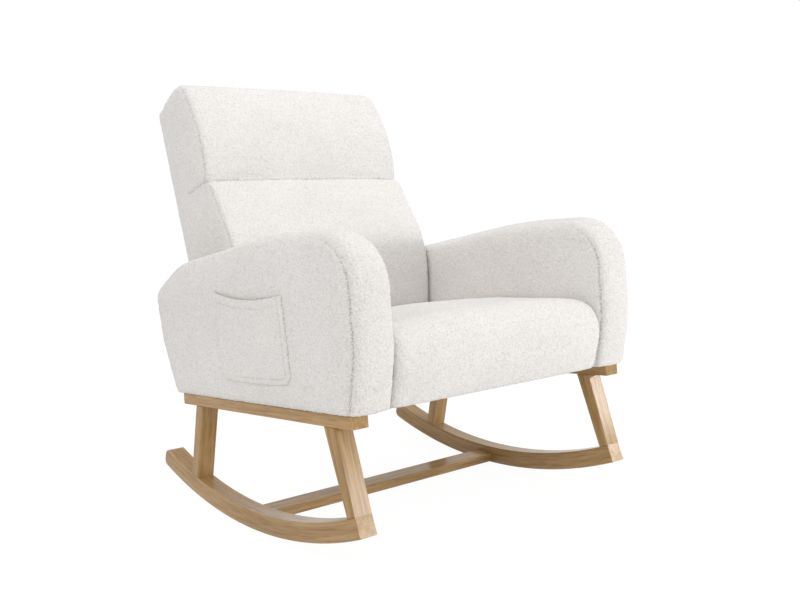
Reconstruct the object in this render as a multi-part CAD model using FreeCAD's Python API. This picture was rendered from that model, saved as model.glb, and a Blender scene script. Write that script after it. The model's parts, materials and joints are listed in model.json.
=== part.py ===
import FreeCAD, Part
import math
import os

# Upholstered rocking chair: an oak rocker base that carries a padded seat, two padded arms and
# a reclined two-pad back. Millimetres, +Z up. The sitter faces -Y and the sitter's left is +X.
# Heights are over the floor, and lengths along Y count from where the runners touch it.

# Oak side frames
FRAME_WIDTH = 760.0  # over the outer faces of the two side frames
TIMBER = 41.0  # thickness of the side frames across the chair
EDGE_EASE = 1.6  # chamfer of the sawn edges
RUNNER_RADIUS = 1110.0  # rolling radius of the runners
RUNNER_DEPTH = 40.0
RUNNER_FRONT_ANGLE = 23.6  # from the floor contact to the square front end
RUNNER_REAR_ANGLE = 17.4
RUNNER_TIP_ROUND = 15.0
RAIL_TILT = 6.46  # the rails drop towards the back by this angle
RAIL_TOP = 266.4  # top of the rails above the floor, over the contact point
RAIL_DEPTH = 25.0
RAIL_FRONT = 420.0
RAIL_REAR = 224.0
FRONT_LEG_LEAN = 21.3
FRONT_LEG_HEAD = 34.8
FRONT_LEG_FOOT = 25.0
REAR_LEG_LEAN = 10.4
REAR_LEG_PLACE = 151.0  # middle of the head, along the rail
REAR_LEG_HEAD = 30.0
REAR_LEG_FOOT = 28.0
STRETCHER_WIDTH = 50.0
STRETCHER_DEPTH = 21.0
STRETCHER_AHEAD = 35.0  # its middle, in front of the contact point
STRETCHER_LIFT = 4.0  # its underside above the floor

# Glued loose tenons of the base
TENON_WIDTH = 24.0
TENON_THICK = 10.0
TENON_IN_RUNNER = 22.0
TENON_IN_RAIL = 15.0
TENON_IN_LEG = 28.0
TENON_IN_STRETCHER = 26.0
GLUE_GAP = 0.05

# Upholstery
SOFT_GAP = 0.4  # air between one soft layer and the next
COVER = 2.4  # cover cloth
ARM_THICK = 90.0  # from the side frame's outer face to the arm's inner face
ARM_SWELL = 15.0  # the outer face swells past the side frame
ARM_OUTER_RIM = 22.0
ARM_OUTER_REACH = 50.0
ARM_INNER_RIM = 18.0
ARM_INNER_REACH = 26.0
ARM_CROWN = 3.0
ARM_DRAW_IN = 0.15  # share of the rim that also lifts the lower edge
ARM_FRONT_FOOT = 438.0
ARM_FRONT = 464.0
ARM_BULGE_HEIGHT = 108.0  # where the front edge stops leaning out
ARM_BULGE_ROUND = 260.0
ARM_FRONT_HEIGHT = 328.0
ARM_FRONT_ROUND = 108.0
ARM_PEAK = 334.0
ARM_PEAK_PLACE = 190.0  # ahead of the contact point
ARM_PEAK_ROUND = 1500.0
ARM_SHOULDER = 195.0
ARM_SHOULDER_HEIGHT = 291.0
ARM_SHOULDER_ROUND = 220.0
ARM_REAR = 317.0
ARM_REAR_HEIGHT = 233.0
ARM_REAR_ROUND = 26.0
ARM_HEEL = 301.0
ARM_HEEL_HEIGHT = 120.0
ARM_HEEL_ROUND = 200.0
ARM_REAR_FOOT = 250.0

SEAT_RIM = 20.0
SEAT_REACH = 14.0
SEAT_CROWN = 10.0
SEAT_FRONT_FOOT = 433.0
SEAT_FRONT = 460.0
SEAT_BULGE_HEIGHT = 76.0
SEAT_BULGE_ROUND = 120.0
SEAT_NOSE = 456.0
SEAT_NOSE_HEIGHT = 153.0
SEAT_NOSE_ROUND = 80.0
SEAT_PEAK = 159.0
SEAT_PEAK_PLACE = 190.0
SEAT_PEAK_ROUND = 700.0
SEAT_REAR_HEIGHT = 126.0

BACK_RECLINE = 20.7
BACK_REAR = 365.0  # rear plane of the back at BACK_LEVEL, behind the contact point
BACK_LEVEL = 522.0
BACK_SIDE_GAP = 0.6  # between the back and an arm
BACK_SHELL = 40.0  # thickness of the framed rear shell
BACK_TOP = 393.0  # top of the shell, up the slope from BACK_LEVEL
BACK_SHELL_NARROW = 4.0  # the shell is this much narrower than the pads
SHELL_RIM = 12.0
SHELL_TOP_ROUND = 14.0
PAD_SPLIT = 152.0  # the seam between the two pads
PAD_SPLIT_GAP = 1.2
PAD_RIM = 18.0
PAD_REACH = 16.0
PAD_CROWN = 5.0
PAD_SEAM_ROUND = 24.0
HEAD_PAD_SEAM_DEPTH = 174.0
HEAD_PAD_DEPTH = 192.0
HEAD_PAD_SWELL = 258.0  # height of the deepest place
HEAD_PAD_SWELL_ROUND = 320.0
HEAD_PAD_RISE = 26.0  # of the pad's front edge over the shell
HEAD_PAD_TOP_DEPTH = 146.0
HEAD_PAD_TOP_ROUND = 46.0
HEAD_PAD_LIP = 7.0  # of the pad's rear edge over the shell
LUMBAR_SEAM_DEPTH = 182.0
LUMBAR_DEPTH = 238.0
LUMBAR_SWELL = 50.0  # below BACK_LEVEL
LUMBAR_SWELL_ROUND = 260.0
LUMBAR_TOE = 102.0  # front of the pad on the seat, behind the contact point
LUMBAR_TOE_ROUND = 16.0

POCKET_WIDTH = 251.0
POCKET_HEIGHT = 176.0
POCKET_FRONT = 249.0
POCKET_FOOT = 51.0
POCKET_STAND = 8.5  # how far the pocket stands off the arm
POCKET_CLOTH = 2.6
POCKET_SEAM = 11.0  # stitched border
POCKET_SAG = 13.0
POCKET_CORNER = 14.0
POCKET_FLARE = 12.0  # the foot reaches this much further forward than the mouth
POCKET_SLANT = 10.0  # the mouth drops by this much towards the front
POCKET_OPEN = 20.0  # the inside runs on past the mouth

# Wooden cores
ARM_PADDING = 22.0
ARM_OUTER_PADDING = 17.0
PANEL_INNER = 12.0
PANEL_OUTER = 9.0
ARM_POST = 38.0
ARM_SILL = 45.0
CLEAT_HEIGHT = 54.0
CLEAT_FOOT = 6.0
CLEAT_FRONT = 350.0
CLEAT_REAR = 110.0
SEAT_TIMBER = 22.0
SEAT_TIMBER_HEIGHT = 67.0
SEAT_TIMBER_FOOT = 0.0
SEAT_FRONT_TIMBER = 416.0  # front face of the seat's front timber
SEAT_CORNER = 60.0
SEAT_CORNER_FOOT = 8.0
SEAT_CORNER_HEIGHT = 52.0
BACK_POST = 22.0
BACK_POST_DEPTH = 124.0
BACK_POST_STEP = 96.0  # below this much under BACK_LEVEL the posts are as shallow as the rails
BACK_TIMBER = 34.0
BACK_RAIL = 42.0
BACK_FOOT = 296.0
BACK_HEAD_DROP = 13.0  # from the top of the shell to the top rail
BACK_MIDDLE_RAIL = 150.0
BACK_LUMBAR_RAIL = -40.0
WEB_WIDTH = 50.0
WEB = 1.6
SEAT_WEB_ALONG = 5
SEAT_WEB_ACROSS = 4
SEAT_WEB_PITCH = 100.0
SEAT_WEB_STEP = 115.0
SEAT_WEB_FIRST = 330.0
BACK_WEBS = (330.0, 258.0, 186.0, 104.0, 32.0, -40.0)
DUST_CLOTH = 1.6
DUST_INSET = 1.0
DUST_SETBACK = 9.0
DUST_LAP = 8.0  # in front of the seat's front timber

# Bolts and nuts
BOLT_DIAMETER = 8.0
BOLT_HEAD = 13.0
BOLT_HEAD_HEIGHT = 5.0
BOLT_CLEARANCE = 0.5
ROD_SIDES = 8
NUT_FLATS = 13.0
NUT_SIDES = 6
NUT_HEIGHT = 6.5
RAIL_BOLT_PLACES = (-262.0, 82.0)
RAIL_BOLT_IN = 12.0  # from the rail's inner face to the bolt
RAIL_BOLT_SINK = 9.0
ARM_BOLT_PLACES = (-300.0, 60.0)
ARM_BOLT_HEIGHT = 34.0
ARM_BOLT_REACH = 2.0  # past the nut
BACK_BOLT_PLACES = (-150.0, 150.0)
BACK_BOLT_HEIGHT = 36.0

HALF_WIDTH = FRAME_WIDTH / 2
INNER_FACE = HALF_WIDTH - TIMBER
ARM_INNER = HALF_WIDTH - ARM_THICK
BACK_WIDTH = 2 * (ARM_INNER - BACK_SIDE_GAP)
BACK_HEAD = BACK_TOP - BACK_HEAD_DROP
HEAD_PAD_TOP = BACK_TOP + HEAD_PAD_RISE
HEAD_PAD_HEEL = BACK_TOP + HEAD_PAD_LIP
ARM_OUTER = HALF_WIDTH + ARM_SWELL
TILT = math.radians(RAIL_TILT)
RECLINE = math.radians(BACK_RECLINE)
X_AXIS = FreeCAD.Vector(1, 0, 0)
SEAT_NORMAL = FreeCAD.Vector(0, math.sin(TILT), math.cos(TILT))
BACK_TIMBER_REAR = COVER + SOFT_GAP
SEAT_REAR = BACK_SHELL + SOFT_GAP  # rear face of the seat, in front of the back's rear plane


# Three flat drawing boards, all square to X: upright, along the rails, and up the back
def upright(x, y, z):
    return FreeCAD.Vector(x, y, z)


def along_rail(x, s, n):
    y = s * math.cos(TILT) + n * math.sin(TILT)
    z = RAIL_TOP - s * math.sin(TILT) + n * math.cos(TILT)
    return FreeCAD.Vector(x, y, z)


def up_back(x, t, n):
    y = BACK_REAR + t * math.sin(RECLINE) - n * math.cos(RECLINE)
    z = BACK_LEVEL + t * math.cos(RECLINE) + n * math.sin(RECLINE)
    return FreeCAD.Vector(x, y, z)


def rail_coordinates(point):
    rise = point.z - RAIL_TOP
    s = point.y * math.cos(TILT) - rise * math.sin(TILT)
    n = point.y * math.sin(TILT) + rise * math.cos(TILT)
    return s, n


def back_coordinates(point):
    y = point.y - BACK_REAR
    z = point.z - BACK_LEVEL
    t = y * math.sin(RECLINE) + z * math.cos(RECLINE)
    n = -y * math.cos(RECLINE) + z * math.sin(RECLINE)
    return t, n


def shell_face(depth, height):
    """Place along the rail of the plane at a depth in front of the back's rear, at a height."""
    low = rail_coordinates(up_back(0, -BACK_FOOT, depth))
    high = rail_coordinates(up_back(0, 0, depth))
    share = (height - low[1]) / (high[1] - low[1])
    return low[0] + share * (high[0] - low[0])


# Outlines with rounded corners. A corner is (across, up, radius)
def inset_corners(corners, insets):
    """Moves edge i, from corner i to the next, inwards by insets[i]."""
    count = len(corners)
    area = 0.0
    for i in range(count):
        a, b = corners[i], corners[(i + 1) % count]
        area += a[0] * b[1] - b[0] * a[1]
    turn = 1.0 if area > 0 else -1.0
    lines = []
    for i in range(count):
        a, b = corners[i], corners[(i + 1) % count]
        length = math.hypot(b[0] - a[0], b[1] - a[1])
        du, dv = (b[0] - a[0]) / length, (b[1] - a[1]) / length
        lines.append((a[0] - turn * dv * insets[i], a[1] + turn * du * insets[i], du, dv))
    moved = []
    for i in range(count):
        before, after = lines[i - 1], lines[i]
        cross = before[2] * after[3] - before[3] * after[2]
        along = ((after[0] - before[0]) * after[3] - (after[1] - before[1]) * after[2]) / cross
        radius = corners[i][2]
        if radius > 0:
            radius = max(radius - (insets[i - 1] + insets[i]) / 2, 4.0)
        moved.append((before[0] + along * before[2], before[1] + along * before[3], radius))
    return moved


def corner_arc(before, corner, after):
    """Half the corner's angle, its bisector and the unit directions to both neighbours."""
    ways = []
    for other in (before, after):
        length = math.hypot(other[0] - corner[0], other[1] - corner[1])
        ways.append(((other[0] - corner[0]) / length, (other[1] - corner[1]) / length))
    (a, b), (c, d) = ways
    half = math.acos(max(-1.0, min(1.0, a * c + b * d))) / 2
    size = math.hypot(a + c, b + d)
    return half, ((a + c) / size, (b + d) / size), ways


def outline(board, x, corners):
    """Closed wire of lines and tangent arcs on a drawing board. Arcs shrink where an edge is short."""
    count = len(corners)
    arcs = [corner_arc(corners[i - 1], corners[i], corners[(i + 1) % count]) for i in range(count)]
    runs = [corners[i][2] / math.tan(arcs[i][0]) for i in range(count)]
    limits = [1.0] * count
    for i in range(count):
        j = (i + 1) % count
        length = math.hypot(corners[j][0] - corners[i][0], corners[j][1] - corners[i][1])
        if runs[i] + runs[j] > 0.97 * length:
            share = 0.97 * length / (runs[i] + runs[j])
            limits[i] = min(limits[i], share)
            limits[j] = min(limits[j], share)
    ends, middles = [], []
    for i in range(count):
        half, bisector, ways = arcs[i]
        (u, v), run = corners[i][:2], runs[i] * limits[i]
        depth = run / math.cos(half) - run * math.tan(half)
        ends.append([board(x, u + way[0] * run, v + way[1] * run) for way in ways])
        middles.append(board(x, u + bisector[0] * depth, v + bisector[1] * depth))
    edges = []
    for i in range(count):
        if runs[i] > 0:
            edges.append(Part.Arc(ends[i][0], middles[i], ends[i][1]).toShape())
        edges.append(Part.LineSegment(ends[i][1], ends[(i + 1) % count][0]).toShape())
    return Part.Wire(edges)


def prism(board, x_low, x_high, corners):
    face = Part.Face(outline(board, x_low, corners))
    return face.extrude(FreeCAD.Vector(x_high - x_low, 0, 0))


def block(board, x_low, x_high, low, high):
    (a0, b0), (a1, b1) = low, high
    return prism(board, x_low, x_high, [(a0, b0, 0), (a1, b0, 0), (a1, b1, 0), (a0, b1, 0)])


def bar(start, end, flats, sides):
    """Straight bar with a regular outline, of a width across its flats."""
    axis = end - start
    first = axis.cross(FreeCAD.Vector(0.3, 0.5, 0.8)).normalize()
    second = axis.cross(first).normalize()
    radius = flats / 2 / math.cos(math.pi / sides)
    points = []
    for k in range(sides + 1):
        angle = 2 * math.pi * (k % sides) / sides
        points.append(start + first * (radius * math.cos(angle)) + second * (radius * math.sin(angle)))
    return Part.Face(Part.makePolygon(points)).extrude(axis)


def rod(start, end, diameter):
    """Bolt shank, bolt head or bore, drawn with flats."""
    return bar(start, end, diameter, ROD_SIDES)


def tenon(start, end, way, grow):
    """Loose tenon from start to end, its width along a unit way square to its length."""
    axis = (end - start).normalize()
    thick = axis.cross(way)
    half_width = way * (TENON_WIDTH / 2 + grow)
    half_thick = thick * (TENON_THICK / 2 + grow)
    first, last = start - axis * grow, end + axis * grow
    points = [first + half_width + half_thick, first - half_width + half_thick,
              first - half_width - half_thick, first + half_width - half_thick]
    return Part.Face(Part.makePolygon(points + points[:1])).extrude(last - first)


RIM_ANGLES = (90.0, 58.0, 28.0, 0.0)  # stations round a rim
CROWN_SHARES = (0.45,)  # stations from a rim to the middle


def padded(board, low_face, high_face, low_rim, high_rim, section):
    """Soft form across X: elliptical rims at both faces and a crown between them.

    A rim is (depth, reach). section(inset, crown) gives the outline's corners at a station."""
    middle = (low_face + high_face) / 2
    stations = [(middle, section(0.0, 1.0))]
    for face, rim in ((low_face, low_rim), (high_face, high_rim)):
        depth, reach = rim
        inward = math.copysign(1.0, middle - face)
        for degrees in RIM_ANGLES:
            angle = math.radians(degrees)
            x = face + inward * depth * (1 - math.sin(angle))
            stations.append((x, section(reach * (1 - math.cos(angle)), 0.0)))
        for share in CROWN_SHARES:
            x = face + inward * (depth + share * (abs(middle - face) - depth))
            stations.append((x, section(0.0, math.sin(math.pi / 2 * share))))
    stations.sort(key=lambda station: station[0])
    wires = [outline(board, x, corners) for x, corners in stations]
    return Part.makeLoft(wires, True, True)


def group(solids):
    return Part.makeCompound(solids)


def mirrored(shape):
    return shape.mirror(FreeCAD.Vector(0, 0, 0), X_AXIS)


def both_sides(solids):
    return group(solids + [mirrored(s) for s in solids])


def eased(shape, x_faces):
    """Takes the sharpness off the sawn edges that bound the faces square to X."""
    edges = []
    for edge in shape.Edges:
        box = edge.BoundBox
        if any(abs(box.XMin - x) < 1e-4 and abs(box.XMax - x) < 1e-4 for x in x_faces):
            edges.append(edge)
    return shape.makeChamfer(EDGE_EASE, edges)


# Oak side frame on the sitter's left
def runner_point(angle, radius):
    return radius * math.sin(angle), RUNNER_RADIUS - radius * math.cos(angle)


def runner_arc(x, radius, first, last):
    points = [runner_point(a, radius) for a in (first, (first + last) / 2, last)]
    return Part.Arc(*[upright(x, *p) for p in points]).toShape()


RUNNER_TOP = RUNNER_RADIUS - RUNNER_DEPTH
FRONT_END = -math.radians(RUNNER_FRONT_ANGLE)
REAR_END = math.radians(RUNNER_REAR_ANGLE)


def make_runner():
    x = INNER_FACE
    corners = [upright(x, *runner_point(a, r)) for a, r in (
        (FRONT_END, RUNNER_RADIUS), (REAR_END, RUNNER_RADIUS), (REAR_END, RUNNER_TOP), (FRONT_END, RUNNER_TOP))]
    wire = Part.Wire([
        runner_arc(x, RUNNER_RADIUS, FRONT_END, REAR_END),
        Part.LineSegment(corners[1], corners[2]).toShape(),
        runner_arc(x, RUNNER_TOP, REAR_END, FRONT_END),
        Part.LineSegment(corners[3], corners[0]).toShape()])
    solid = Part.Face(wire).extrude(FreeCAD.Vector(TIMBER, 0, 0))
    tip = [e for e in solid.Edges if abs(e.BoundBox.XLength - TIMBER) < 1e-3 and e.BoundBox.YMin > 0]
    solid = solid.makeFillet(RUNNER_TIP_ROUND, tip)
    return eased(solid, (INNER_FACE, HALF_WIDTH))


def make_rail():
    solid = block(along_rail, INNER_FACE, HALF_WIDTH, (-RAIL_FRONT, -RAIL_DEPTH), (RAIL_REAR, 0))
    return eased(solid, (INNER_FACE, HALF_WIDTH))


def make_leg(head_front, head_rear, foot_front, foot_rear):
    """head_*: places along the rail; foot_*: angles on the runner."""
    x = INNER_FACE
    head = [along_rail(x, s, -RAIL_DEPTH) for s in (head_front, head_rear)]
    foot = [upright(x, *runner_point(a, RUNNER_TOP)) for a in (foot_front, foot_rear)]
    wire = Part.Wire([
        Part.LineSegment(foot[0], head[0]).toShape(),
        Part.LineSegment(head[0], head[1]).toShape(),
        Part.LineSegment(head[1], foot[1]).toShape(),
        runner_arc(x, RUNNER_TOP, foot_rear, foot_front)])
    solid = Part.Face(wire).extrude(FreeCAD.Vector(TIMBER, 0, 0))
    middle_head = (head[0] + head[1]) * 0.5
    middle_foot = (foot[0] + foot[1]) * 0.5
    return eased(solid, (INNER_FACE, HALF_WIDTH)), middle_head, middle_foot


def make_front_leg():
    lean = math.radians(FRONT_LEG_LEAN)
    y, z = runner_point(FRONT_END, RUNNER_TOP)
    n_foot = rail_coordinates(upright(0, y, z))[1]
    climb = (-RAIL_DEPTH - n_foot) / math.cos(lean - TILT)
    head = rail_coordinates(upright(0, y + climb * math.sin(lean), z + climb * math.cos(lean)))[0]
    return make_leg(head, head + FRONT_LEG_HEAD, FRONT_END, FRONT_END + FRONT_LEG_FOOT / RUNNER_TOP)


def make_rear_leg():
    lean = math.radians(REAR_LEG_LEAN)
    head = along_rail(0, REAR_LEG_PLACE, -RAIL_DEPTH)
    # the leg's middle line meets the top of the runner
    along = head.y * math.sin(lean) + (RUNNER_RADIUS - head.z) * math.cos(lean)
    apart = head.y ** 2 + (head.z - RUNNER_RADIUS) ** 2 - RUNNER_TOP ** 2
    drop = -along + math.sqrt(along ** 2 - apart)
    angle = math.asin((head.y + drop * math.sin(lean)) / RUNNER_TOP)
    half = REAR_LEG_FOOT / RUNNER_TOP / 2
    return make_leg(REAR_LEG_PLACE - REAR_LEG_HEAD / 2, REAR_LEG_PLACE + REAR_LEG_HEAD / 2,
                    angle - half, angle + half)


runner = make_runner()
rail = make_rail()
front_leg, front_head, front_foot = make_front_leg()
rear_leg, rear_head, rear_foot = make_rear_leg()

stretcher = Part.makeBox(2 * INNER_FACE, STRETCHER_WIDTH, STRETCHER_DEPTH, FreeCAD.Vector(
    -INNER_FACE, -STRETCHER_AHEAD - STRETCHER_WIDTH / 2, STRETCHER_LIFT))
stretcher = stretcher.makeChamfer(EDGE_EASE, [e for e in stretcher.Edges if e.BoundBox.XLength > INNER_FACE])


def leg_tenons(head, foot, grow):
    axis = (foot - head).normalize()
    middle = FreeCAD.Vector(TIMBER / 2, 0, 0)
    top, bottom = head + middle, foot + middle
    return [tenon(top - axis * TENON_IN_RAIL, top + axis * TENON_IN_LEG, X_AXIS, grow),
            tenon(bottom - axis * TENON_IN_LEG, bottom + axis * TENON_IN_RUNNER, X_AXIS, grow)]


def stretcher_tenon(grow):
    place = FreeCAD.Vector(INNER_FACE, -STRETCHER_AHEAD, STRETCHER_LIFT + STRETCHER_DEPTH / 2)
    return tenon(place - X_AXIS * TENON_IN_STRETCHER, place + X_AXIS * TENON_IN_RUNNER,
                 FreeCAD.Vector(0, 1, 0), grow)


tenons = leg_tenons(front_head, front_foot, 0) + leg_tenons(rear_head, rear_foot, 0)
cross_tenon = stretcher_tenon(0)
front_sockets = leg_tenons(front_head, front_foot, GLUE_GAP)
rear_sockets = leg_tenons(rear_head, rear_foot, GLUE_GAP)
cross_socket = stretcher_tenon(GLUE_GAP)
front_leg = front_leg.cut(front_sockets)
rear_leg = rear_leg.cut(rear_sockets)
runner = runner.cut(front_sockets + rear_sockets + [cross_socket])
rail = rail.cut(front_sockets + rear_sockets)
stretcher = stretcher.cut([cross_socket, mirrored(cross_socket)])


# Arm on the sitter's left: an arched side outline between a flat inner and a swelling outer face
def arm_section(inset, crown):
    corners = [
        (-ARM_FRONT_FOOT, 0, 0),
        (-ARM_FRONT, ARM_BULGE_HEIGHT, ARM_BULGE_ROUND),
        (-ARM_FRONT, ARM_FRONT_HEIGHT, ARM_FRONT_ROUND),
        (-ARM_PEAK_PLACE, ARM_PEAK, ARM_PEAK_ROUND),
        (ARM_SHOULDER, ARM_SHOULDER_HEIGHT, ARM_SHOULDER_ROUND),
        (ARM_REAR, ARM_REAR_HEIGHT, ARM_REAR_ROUND),
        (ARM_HEEL, ARM_HEEL_HEIGHT, ARM_HEEL_ROUND),
        (ARM_REAR_FOOT, 0, 0)]
    side = inset - crown * ARM_CROWN
    return inset_corners(corners, [side] * 7 + [0.0])


def arm_form():
    def section(inset, crown):
        return inset_corners(arm_section(inset, crown), [0.0] * 7 + [inset * ARM_DRAW_IN])
    low_rim = (ARM_INNER_RIM, ARM_INNER_REACH)
    high_rim = (ARM_OUTER_RIM, ARM_OUTER_REACH)
    return padded(along_rail, ARM_INNER, ARM_OUTER, low_rim, high_rim, section)


ARM_CORE_INNER = ARM_INNER + COVER + SOFT_GAP + ARM_PADDING
ARM_CORE_OUTER = ARM_OUTER - COVER - SOFT_GAP - ARM_OUTER_PADDING
ARM_CORE_INSET = COVER + SOFT_GAP + ARM_PADDING


def arm_core(x_low, x_high, grow, sunk):
    corners = inset_corners(arm_section(ARM_CORE_INSET - grow, 0.0), [0.0] * 7 + [-sunk])
    return prism(along_rail, x_low - grow, x_high + grow, corners)


def cleat(grow):
    return block(along_rail, ARM_INNER + COVER + SOFT_GAP - grow, ARM_CORE_INNER + grow,
                 (-CLEAT_FRONT - grow, CLEAT_FOOT - grow), (CLEAT_REAR + grow, CLEAT_FOOT + CLEAT_HEIGHT + grow))


def arm_bolt(place, grow, reach_in, reach_out):
    """Bore or shank across X, reach_in inside the seat timber and out to reach_out."""
    start = along_rail(ARM_INNER - SOFT_GAP - COVER - SEAT_TIMBER - reach_in, place, ARM_BOLT_HEIGHT)
    end = along_rail(reach_out, place, ARM_BOLT_HEIGHT)
    return rod(start, end, BOLT_DIAMETER + grow)


PANEL_END = ARM_CORE_INNER + PANEL_INNER
arm_bores = [arm_bolt(p, 2 * BOLT_CLEARANCE, 1.0, PANEL_END + 1.0) for p in ARM_BOLT_PLACES]

arm_room = [arm_core(ARM_CORE_INNER, ARM_CORE_OUTER, SOFT_GAP, 6.0), cleat(SOFT_GAP)]
arm_padding = arm_form().cut(arm_room + arm_bores)
arm_inner_panel = arm_core(ARM_CORE_INNER, PANEL_END, 0.0, 0.0).cut(arm_bores)
arm_outer_panel = arm_core(ARM_CORE_OUTER - PANEL_OUTER, ARM_CORE_OUTER, 0.0, 0.0)
arm_cleat = cleat(0.0).cut(arm_bores)


def make_arm_battens():
    """Sill, front post, rear post and arched top batten between the two panels."""
    low, high = PANEL_END, ARM_CORE_OUTER - PANEL_OUTER
    whole = arm_core(low, high, 0.0, 0.0)
    hollow = prism(along_rail, low - 1, high + 1, arm_section(ARM_CORE_INSET + ARM_POST, 0.0))
    big = ARM_FRONT + ARM_REAR
    post_top = ARM_REAR_HEIGHT - 2 * ARM_REAR_ROUND

    def zone(first, last):
        return block(along_rail, low - 1, high + 1, first, last)

    ring = whole.cut(hollow)
    sill = whole.common(zone((-big, -1), (big, ARM_SILL)))
    front_post = ring.common(zone((-big, ARM_SILL), (0, post_top)))
    rear_post = ring.common(zone((0, ARM_SILL), (big, post_top)))
    arch = ring.common(zone((-big, post_top), (big, big)))
    return [sill, front_post, rear_post, arch]


RAIL_BOLT_X = INNER_FACE + RAIL_BOLT_IN


def rail_rod(place, low, high, diameter):
    return rod(along_rail(RAIL_BOLT_X, place, low), along_rail(RAIL_BOLT_X, place, high), diameter)


rail_bolts, rail_nuts, rail_bores, sill_bores = [], [], [], []
for place in RAIL_BOLT_PLACES:
    head_seat = -RAIL_DEPTH + RAIL_BOLT_SINK
    on_axis = [along_rail(RAIL_BOLT_X, place, n) for n in (
        head_seat - BOLT_HEAD_HEIGHT, head_seat, ARM_SILL, ARM_SILL + NUT_HEIGHT)]
    shank = rail_rod(place, head_seat, ARM_SILL + NUT_HEIGHT + ARM_BOLT_REACH, BOLT_DIAMETER)
    rail_bolts.append(rod(on_axis[0], on_axis[1], BOLT_HEAD).fuse(shank))
    rail_nuts.append(bar(on_axis[2], on_axis[3], NUT_FLATS, NUT_SIDES).cut(shank))
    rail_bores.append(rail_rod(place, -RAIL_DEPTH - 1, head_seat, BOLT_HEAD + 2 * BOLT_CLEARANCE))
    rail_bores.append(rail_rod(place, head_seat, 1, BOLT_DIAMETER + 2 * BOLT_CLEARANCE))
    sill_bores.append(rail_rod(place, -1, ARM_SILL + 1, BOLT_DIAMETER + 2 * BOLT_CLEARANCE))
rail = rail.cut(rail_bores)

arm_bolts, arm_nuts, nut_rooms = [], [], []
for place in ARM_BOLT_PLACES:
    head_seat = ARM_INNER - SOFT_GAP - COVER - SEAT_TIMBER
    on_axis = [along_rail(x, place, ARM_BOLT_HEIGHT) for x in (
        head_seat - BOLT_HEAD_HEIGHT, head_seat, PANEL_END, PANEL_END + NUT_HEIGHT)]
    shank = arm_bolt(place, 0.0, 0.0, PANEL_END + NUT_HEIGHT + ARM_BOLT_REACH)
    arm_bolts.append(rod(on_axis[0], on_axis[1], BOLT_HEAD).fuse(shank))
    arm_nuts.append(bar(on_axis[2], on_axis[3], NUT_FLATS, NUT_SIDES).cut(shank))
    room_end = on_axis[3] + X_AXIS * (2 * ARM_BOLT_REACH)
    nut_rooms.append(rod(on_axis[2], room_end, NUT_FLATS + 4))
arm_battens = make_arm_battens()
arm_battens[0] = arm_battens[0].cut(sill_bores + nut_rooms)


# Side pocket: a patch sewn down on three sides, open along its sagging upper edge
def make_pocket():
    front, rear = -POCKET_FRONT, -POCKET_FRONT + POCKET_WIDTH
    top = POCKET_FOOT + POCKET_HEIGHT
    low = ARM_OUTER
    high = ARM_OUTER + POCKET_STAND

    def patch(x, border, past):
        left, right, foot = front + border, rear - border, POCKET_FOOT + border
        corners = [(left - POCKET_FLARE, foot, POCKET_CORNER), (right, foot, POCKET_CORNER),
                   (right, top + POCKET_SLANT / 2 + past, 0), (left, top - POCKET_SLANT / 2 + past, 0)]
        return Part.Face(outline(along_rail, x, corners))

    outer = patch(low, 0.0, 0.0).extrude(X_AXIS * POCKET_STAND)
    rounded = [e for e in outer.Edges if e.BoundBox.XMin > high - 1e-3
               and rail_coordinates(e.CenterOfMass)[1] < top - 1]
    outer = outer.makeChamfer(POCKET_CLOTH * 1.5, rounded)
    inner = patch(low - 1, POCKET_SEAM, POCKET_OPEN).extrude(X_AXIS * (POCKET_STAND - POCKET_CLOTH + 1))
    chord = math.hypot(POCKET_WIDTH, POCKET_SLANT)
    radius = (chord ** 2 / 4 + POCKET_SAG ** 2) / (2 * POCKET_SAG)
    lift = radius - POCKET_SAG
    centre = along_rail(low - 2, (front + rear) / 2 - lift * POCKET_SLANT / chord, top + lift * POCKET_WIDTH / chord)
    mouth = Part.makeCylinder(radius, POCKET_STAND + 4, centre, X_AXIS)
    return outer.cut([inner, mouth])


pocket = make_pocket()


# Seat: crowned, with a rolled front edge, between the arms and up to the back's shell
def seat_section(inset, crown):
    rise = crown * SEAT_CROWN
    corners = [
        (-SEAT_FRONT_FOOT, 0, 0),
        (-SEAT_FRONT - rise / 2, SEAT_BULGE_HEIGHT, SEAT_BULGE_ROUND),
        (-SEAT_NOSE - rise / 2, SEAT_NOSE_HEIGHT + rise, SEAT_NOSE_ROUND),
        (-SEAT_PEAK_PLACE, SEAT_PEAK + rise, SEAT_PEAK_ROUND),
        (shell_face(SEAT_REAR, SEAT_REAR_HEIGHT), SEAT_REAR_HEIGHT, 0),
        (shell_face(SEAT_REAR, 0), 0, 0)]
    return inset_corners(corners, [inset, inset, inset, 0.0, 0.0, 0.0])


def seat_form():
    half = ARM_INNER - SOFT_GAP
    rim = (SEAT_RIM, SEAT_REACH)
    return padded(along_rail, -half, half, rim, rim, seat_section)


SEAT_HALF = ARM_INNER - SOFT_GAP - COVER
SEAT_TOP = SEAT_TIMBER_FOOT + SEAT_TIMBER_HEIGHT
REAR_NEAR = SEAT_REAR + COVER + SOFT_GAP
REAR_FAR = REAR_NEAR + SEAT_TIMBER


def frame_block(x_low, x_high, front, low, high, depth):
    """Seat timber from a square front to a rear cut parallel to the back."""
    corners = [(front, low, 0), (shell_face(depth, low), low, 0),
               (shell_face(depth, high), high, 0), (front, high, 0)]
    return prism(along_rail, x_low, x_high, corners)


def back_place(x, depth):
    """Point on a back bolt's axis, at a depth in front of the back's rear plane."""
    t = back_coordinates(along_rail(0, shell_face(BACK_SHELL, BACK_BOLT_HEIGHT), BACK_BOLT_HEIGHT))[0]
    return up_back(x, t, depth)


def back_rod(x, near, far, diameter):
    return rod(back_place(x, near), back_place(x, far), diameter)


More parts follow.
